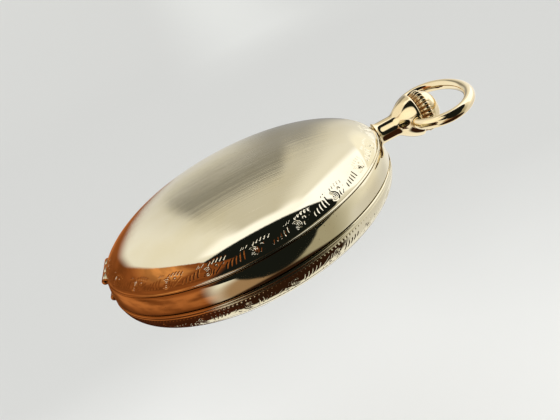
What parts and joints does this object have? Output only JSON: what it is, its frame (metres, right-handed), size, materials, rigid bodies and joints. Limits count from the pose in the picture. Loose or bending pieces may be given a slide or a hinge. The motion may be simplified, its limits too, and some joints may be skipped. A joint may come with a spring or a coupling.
{
  "type": "hunter pocket watch",
  "caption": "Closed hunter pocket watch with hinged front and rear covers, a fluted push crown in a ball pendant, a swinging bow and a jewelled lever movement.",
  "frame": {"origin": "centre of the small flat on the rear cover, which the closed watch rests on", "axes": "+Z from the back to the front cover, +Y along the pendant towards the bow (the dial's 3 o'clock), +X towards the dial's 6 o'clock"},
  "size_m": [0.053, 0.0712, 0.0164],
  "materials": {
    "case_gold": "polished pale gold with engraving",
    "yellow_gold": "polished yellow gold",
    "nickel": "striped nickel",
    "brass": "grained gilt brass",
    "steel": "polished steel",
    "blued_steel": "heat-blued steel",
    "enamel": "fired enamel",
    "glass": "clear polished"
  },
  "bodies": {
    "case": {"case_band": "case_gold", "bezel": "case_gold", "crystal": "glass", "pendant": "yellow_gold", "pendant_sleeve": "steel", "front_hinge_pin": "steel", "rear_hinge_pin": "steel", "dust_hinge_pin": "steel", "lift_spring": "steel", "case_screw_1": "blued_steel", "case_screw_2": "blued_steel", "main_plate": "brass", "barrel_bridge": "nickel", "train_bridge": "nickel", "balance_cock": "nickel", "pallet_cock": "nickel", "balance_cock_screw": "blued_steel", "barrel_bridge_screw_1": "blued_steel", "barrel_bridge_screw_2": "blued_steel", "train_bridge_screw_1": "blued_steel", "train_bridge_screw_2": "blued_steel", "click_spring": "blued_steel", "dial": "enamel"},
    "front_cover": {"front_cover": "case_gold"},
    "rear_cover": {"rear_cover": "case_gold"},
    "dust_cover": {"dust_cover": "case_gold"},
    "bow": {"bow": "yellow_gold"},
    "winding_pinion": {"winding_pinion": "steel"},
    "crown": {"crown": "yellow_gold", "winding_stem": "steel"},
    "lock_spring": {"lock_spring": "steel"},
    "crown_wheel": {"crown_wheel": "steel", "contrate_wheel": "steel"},
    "ratchet_wheel": {"ratchet_wheel": "steel", "barrel_arbor": "steel"},
    "click": {"click": "steel"},
    "setting_lever": {"setting_lever": "steel"},
    "setting_wheel": {"setting_wheel": "steel"},
    "barrel": {"mainspring_barrel": "brass", "barrel_cover": "brass", "mainspring": "blued_steel"},
    "centre_wheel": {"centre_wheel": "brass", "cannon_pinion": "steel", "minute_hand": "blued_steel"},
    "third_wheel": {"third_wheel": "brass"},
    "fourth_wheel": {"fourth_wheel": "brass", "seconds_hand": "blued_steel"},
    "escape_wheel": {"escape_wheel": "steel"},
    "pallet_fork": {"pallet_fork": "steel"},
    "balance": {"balance_wheel": "brass", "hairspring": "blued_steel"},
    "regulator": {"regulator": "steel"},
    "minute_wheel": {"minute_wheel": "brass"},
    "hour_wheel": {"hour_wheel": "brass", "hour_hand": "blued_steel"}
  },
  "joints": [
    {"name": "front_cover_hinge", "type": "hinge", "parent": "case", "child": "front_cover", "pos_m": [0, -0.02595, 0.01015], "axis": [1, 0, 0], "range_deg": [0, 88]},
    {"name": "rear_cover_hinge", "type": "hinge", "parent": "case", "child": "rear_cover", "pos_m": [0, -0.0262, 0.0069], "axis": [-1, 0, 0], "range_deg": [0, 100]},
    {"name": "dust_cover_hinge", "type": "hinge", "parent": "case", "child": "dust_cover", "pos_m": [0, -0.0244, 0.00556], "axis": [-1, 0, 0], "range_deg": [0, 86]},
    {"name": "bow_swing", "type": "hinge", "parent": "case", "child": "bow", "pos_m": [0, 0.033, 0.00855], "axis": [1, 0, 0], "range_deg": [-135, 130]},
    {"name": "crown_turn", "type": "hinge", "parent": "case", "child": "winding_pinion", "pos_m": [0, 0.0164, 0.00855], "axis": [0, 1, 0], "continuous": true},
    {"name": "crown_push", "type": "slide", "parent": "winding_pinion", "child": "crown", "axis": [0, 1, 0], "range_m": [-0.0009, 0], "stiffness_N_per_m": 500},
    {"name": "lock_spring_flex", "type": "hinge", "parent": "case", "child": "lock_spring", "pos_m": [-0.02036, 0.01223, 0.0096], "axis": [0, 0, 1], "range_deg": [-2.1, 0]},
    {"name": "crown_wheel_turn", "type": "hinge", "parent": "case", "child": "crown_wheel", "pos_m": [0, 0.0118, 0.0046], "axis": [0, 0, 1], "continuous": true},
    {"name": "ratchet_turn", "type": "hinge", "parent": "case", "child": "ratchet_wheel", "pos_m": [-0.00846, 0.00308, 0.0046], "axis": [0, 0, 1], "continuous": true},
    {"name": "click_rock", "type": "hinge", "parent": "case", "child": "click", "pos_m": [-0.01558, -0.00191, 0.0046], "axis": [0, 0, 1], "range_deg": [0, 12]},
    {"name": "setting_lever_pull", "type": "slide", "parent": "case", "child": "setting_lever", "axis": [0.6157, 0.788, 0], "range_m": [0, 0.0015]},
    {"name": "setting_wheel_turn", "type": "hinge", "parent": "case", "child": "setting_wheel", "pos_m": [0.00064, 0.00995, 0.0099], "axis": [0, 0, 1], "continuous": true},
    {"name": "barrel_turn", "type": "hinge", "parent": "case", "child": "barrel", "pos_m": [-0.00846, 0.00308, 0.007], "axis": [0, 0, 1], "continuous": true},
    {"name": "centre_turn", "type": "hinge", "parent": "case", "child": "centre_wheel", "pos_m": [0, 0, 0.0076], "axis": [0, 0, 1], "continuous": true},
    {"name": "third_turn", "type": "hinge", "parent": "case", "child": "third_wheel", "pos_m": [0.00585, 0.00439, 0.0071], "axis": [0, 0, 1], "continuous": true},
    {"name": "seconds_turn", "type": "hinge", "parent": "case", "child": "fourth_wheel", "pos_m": [0.0096, 0, 0.0067], "axis": [0, 0, 1], "continuous": true},
    {"name": "escape_turn", "type": "hinge", "parent": "case", "child": "escape_wheel", "pos_m": [0.00866, -0.00531, 0.0074], "axis": [0, 0, 1], "continuous": true},
    {"name": "pallet_rock", "type": "hinge", "parent": "case", "child": "pallet_fork", "pos_m": [0.00591, -0.00807, 0.0074], "axis": [0, 0, 1], "range_deg": [-5, 5]},
    {"name": "balance_swing", "type": "hinge", "parent": "case", "child": "balance", "pos_m": [0.00184, -0.01075, 0.0056], "axis": [0, 0, 1], "range_deg": [-270, 270]},
    {"name": "regulator_shift", "type": "hinge", "parent": "case", "child": "regulator", "pos_m": [0.00184, -0.01075, 0.0042], "axis": [0, 0, 1], "range_deg": [-20, 20]},
    {"name": "minute_wheel_turn", "type": "hinge", "parent": "case", "child": "minute_wheel", "pos_m": [0.00114, 0.00425, 0.0099], "axis": [0, 0, 1], "continuous": true},
    {"name": "hour_turn", "type": "hinge", "parent": "case", "child": "hour_wheel", "pos_m": [0, 0, 0.0102], "axis": [0, 0, 1], "continuous": true}
  ],
  "couplings": [
    {"joint": "lock_spring_flex", "follows": "crown_push", "rad_per_m": 38.9},
    {"joint": "dust_cover_hinge", "follows": "rear_cover_hinge", "ratio": 0.85},
    {"joint": "crown_wheel_turn", "follows": "crown_turn", "ratio": 0.5},
    {"joint": "ratchet_turn", "follows": "crown_turn", "ratio": -0.4},
    {"joint": "escape_turn", "follows": "seconds_turn", "ratio": -10},
    {"joint": "third_turn", "follows": "seconds_turn", "ratio": -0.13333},
    {"joint": "centre_turn", "follows": "seconds_turn", "ratio": 0.016667},
    {"joint": "barrel_turn", "follows": "seconds_turn", "ratio": -0.0020833},
    {"joint": "minute_wheel_turn", "follows": "seconds_turn", "ratio": -0.0055556},
    {"joint": "hour_turn", "follows": "seconds_turn", "ratio": 0.0013889},
    {"joint": "setting_wheel_turn", "follows": "seconds_turn", "ratio": 0.0075758}
  ]
}
